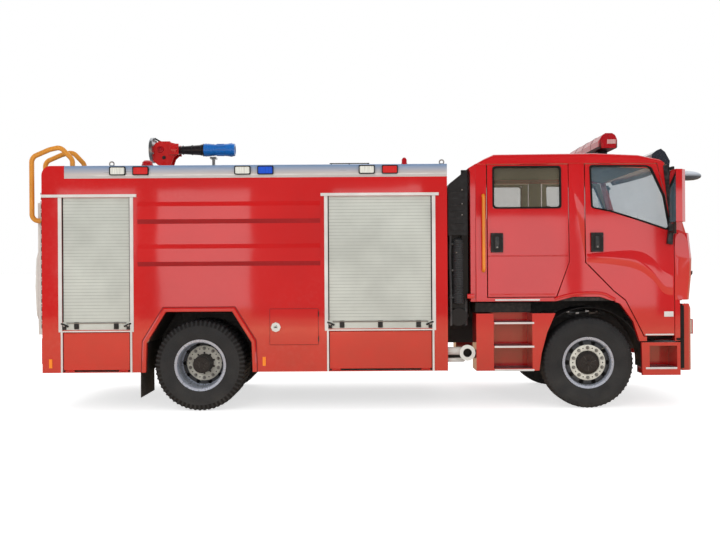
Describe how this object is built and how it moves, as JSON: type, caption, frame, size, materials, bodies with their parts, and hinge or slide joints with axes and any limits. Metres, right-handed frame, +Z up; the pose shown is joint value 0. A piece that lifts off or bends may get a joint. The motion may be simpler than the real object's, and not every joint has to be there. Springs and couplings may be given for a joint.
{
  "type": "fire engine, two-axle water tender with a crew cab",
  "caption": "Two-axle fire engine with a tilting four-door cab, roller shutters, roof monitor, rear ladder and fold-down footboards.",
  "frame": {"origin": "middle of the truck's overall length and width, on the ground", "axes": "+X forward along the truck, +Y to its left, +Z up"},
  "size_m": [7.9138, 3.15, 3.387],
  "materials": {
    "red_paint": "gloss",
    "frame_paint": "satin",
    "rim_paint": "satin",
    "pipe_paint": "satin",
    "rail_paint": "gloss",
    "shutter_metal": "satin",
    "edge_metal": "brushed",
    "cast_metal": "rough",
    "tyre_rubber": "matte",
    "black_plastic": "matte",
    "lamp_plastic": "gloss",
    "nozzle_plastic": "gloss",
    "trim_plastic": "matte",
    "seat_fabric": "matte",
    "window_glass": "gloss"
  },
  "bodies": {
    "chassis": {"air_intake": "black_plastic", "body_end_walls": "red_paint", "body_floor": "frame_paint", "body_sides": "red_paint", "chassis_frame": "frame_paint", "engine_block": "cast_metal", "entry_steps": "red_paint", "front_axle": "cast_metal", "front_bumper": "red_paint", "head_and_tail_lamps": "lamp_plastic", "inlet_pipe": "pipe_paint", "ladder_hoops": "rail_paint", "monitor_base": "red_paint", "mudguards": "black_plastic", "rear_axle": "cast_metal", "rear_ladder": "shutter_metal", "roller_shutters": "shutter_metal", "roof_deck": "shutter_metal", "roof_edge": "edge_metal", "shutter_frames": "shutter_metal", "warning_lamps": "lamp_plastic"},
    "cab": {"cab_floor": "frame_paint", "cab_back_wall": "red_paint", "cab_sides": "red_paint", "cab_roof": "red_paint", "cab_front_panel": "red_paint", "windscreen": "window_glass", "dashboard": "trim_plastic", "seats": "seat_fabric", "light_bar": "red_paint", "kerb_mirror": "trim_plastic", "sun_visor": "black_plastic", "grab_bars": "rail_paint"},
    "front_wheel_right": {"rim_front_right": "rim_paint", "tyre_front_right": "tyre_rubber"},
    "rear_wheel_right": {"rims_rear_right": "rim_paint", "tyres_rear_right": "tyre_rubber"},
    "steering_right": {"knuckle_right": "cast_metal"},
    "crew_door_right": {"door_crew_right": "red_paint", "pane_crew_right": "window_glass"},
    "cab_door_right": {"door_cab_right": "red_paint", "pane_cab_right": "window_glass"},
    "board_front_right": {"footboard_front_right": "red_paint"},
    "board_rear_right": {"footboard_rear_right": "red_paint"},
    "front_wheel_left": {"rim_front_left": "rim_paint", "tyre_front_left": "tyre_rubber"},
    "rear_wheel_left": {"rims_rear_left": "rim_paint", "tyres_rear_left": "tyre_rubber"},
    "steering_left": {"knuckle_left": "cast_metal"},
    "crew_door_left": {"door_crew_left": "red_paint", "pane_crew_left": "window_glass"},
    "cab_door_left": {"door_cab_left": "red_paint", "pane_cab_left": "window_glass"},
    "board_front_left": {"footboard_front_left": "red_paint"},
    "board_rear_left": {"footboard_rear_left": "red_paint"},
    "track_rod": {"tie_rod": "cast_metal"},
    "monitor_swivel_body": {"monitor_body": "red_paint"},
    "monitor_tube": {"monitor_barrel": "nozzle_plastic"},
    "hatch": {"hatch_lid": "shutter_metal"}
  },
  "joints": [
    {"name": "steer_right", "type": "hinge", "parent": "chassis", "child": "steering_right", "pos_m": [2.604, -0.88, 0.533], "axis": [0, 0, 1], "range_deg": [-38, 38]},
    {"name": "steer_left", "type": "hinge", "parent": "chassis", "child": "steering_left", "pos_m": [2.604, 0.88, 0.533], "axis": [0, 0, 1], "range_deg": [-38, 38]},
    {"name": "roll_front_right", "type": "hinge", "parent": "steering_right", "child": "front_wheel_right", "pos_m": [2.604, -1.03, 0.533], "axis": [0, 1, 0], "continuous": true},
    {"name": "roll_rear_right", "type": "hinge", "parent": "chassis", "child": "rear_wheel_right", "pos_m": [-1.952, -0.89, 0.533], "axis": [0, 1, 0], "continuous": true},
    {"name": "roll_front_left", "type": "hinge", "parent": "steering_left", "child": "front_wheel_left", "pos_m": [2.604, 1.03, 0.533], "axis": [0, 1, 0], "continuous": true},
    {"name": "roll_rear_left", "type": "hinge", "parent": "chassis", "child": "rear_wheel_left", "pos_m": [-1.952, 0.89, 0.533], "axis": [0, 1, 0], "continuous": true},
    {"name": "track_rod_pin", "type": "hinge", "parent": "steering_right", "child": "track_rod", "pos_m": [2.424, -0.88, 0.404], "axis": [0, 0, 1], "range_deg": [-38, 38]},
    {"name": "cab_tilt", "type": "hinge", "parent": "chassis", "child": "cab", "pos_m": [3.7, 0, 1.16], "axis": [0, 1, 0], "range_deg": [0, 45]},
    {"name": "crew_door_swing_right", "type": "hinge", "parent": "cab", "child": "crew_door_right", "pos_m": [2.364, -1.245, 2.0885], "axis": [0, 0, 1], "range_deg": [0, 65]},
    {"name": "cab_door_swing_right", "type": "hinge", "parent": "cab", "child": "cab_door_right", "pos_m": [3.589, -1.245, 1.8575], "axis": [0, 0, 1], "range_deg": [0, 65]},
    {"name": "board_fold_rear_right", "type": "hinge", "parent": "chassis", "child": "board_rear_right", "pos_m": [-3.1495, -1.245, 0.482], "axis": [1, 0, 0], "range_deg": [0, 90]},
    {"name": "board_fold_front_right", "type": "hinge", "parent": "chassis", "child": "board_front_right", "pos_m": [0.16149, -1.245, 0.482], "axis": [1, 0, 0], "range_deg": [0, 90]},
    {"name": "crew_door_swing_left", "type": "hinge", "parent": "cab", "child": "crew_door_left", "pos_m": [2.364, 1.245, 2.0885], "axis": [0, 0, -1], "range_deg": [0, 65]},
    {"name": "cab_door_swing_left", "type": "hinge", "parent": "cab", "child": "cab_door_left", "pos_m": [3.589, 1.245, 1.8575], "axis": [0, 0, -1], "range_deg": [0, 65]},
    {"name": "board_fold_rear_left", "type": "hinge", "parent": "chassis", "child": "board_rear_left", "pos_m": [-3.1495, 1.245, 0.482], "axis": [-1, 0, 0], "range_deg": [0, 90]},
    {"name": "board_fold_front_left", "type": "hinge", "parent": "chassis", "child": "board_front_left", "pos_m": [0.16149, 1.245, 0.482], "axis": [-1, 0, 0], "range_deg": [0, 90]},
    {"name": "monitor_swivel", "type": "hinge", "parent": "chassis", "child": "monitor_swivel_body", "pos_m": [-2.6, 0, 2.96], "axis": [0, 0, 1], "continuous": true},
    {"name": "monitor_pitch", "type": "hinge", "parent": "monitor_swivel_body", "child": "monitor_tube", "pos_m": [-2.478, 0, 3.224], "axis": [0, -1, 0], "range_deg": [0, 70]},
    {"name": "hatch_open", "type": "hinge", "parent": "chassis", "child": "hatch", "pos_m": [-1.356, 0, 2.79], "axis": [0, -1, 0], "range_deg": [0, 100]}
  ],
  "couplings": [
    {"joint": "steer_left", "follows": "steer_right", "ratio": 1},
    {"joint": "track_rod_pin", "follows": "steer_right", "ratio": -1}
  ]
}
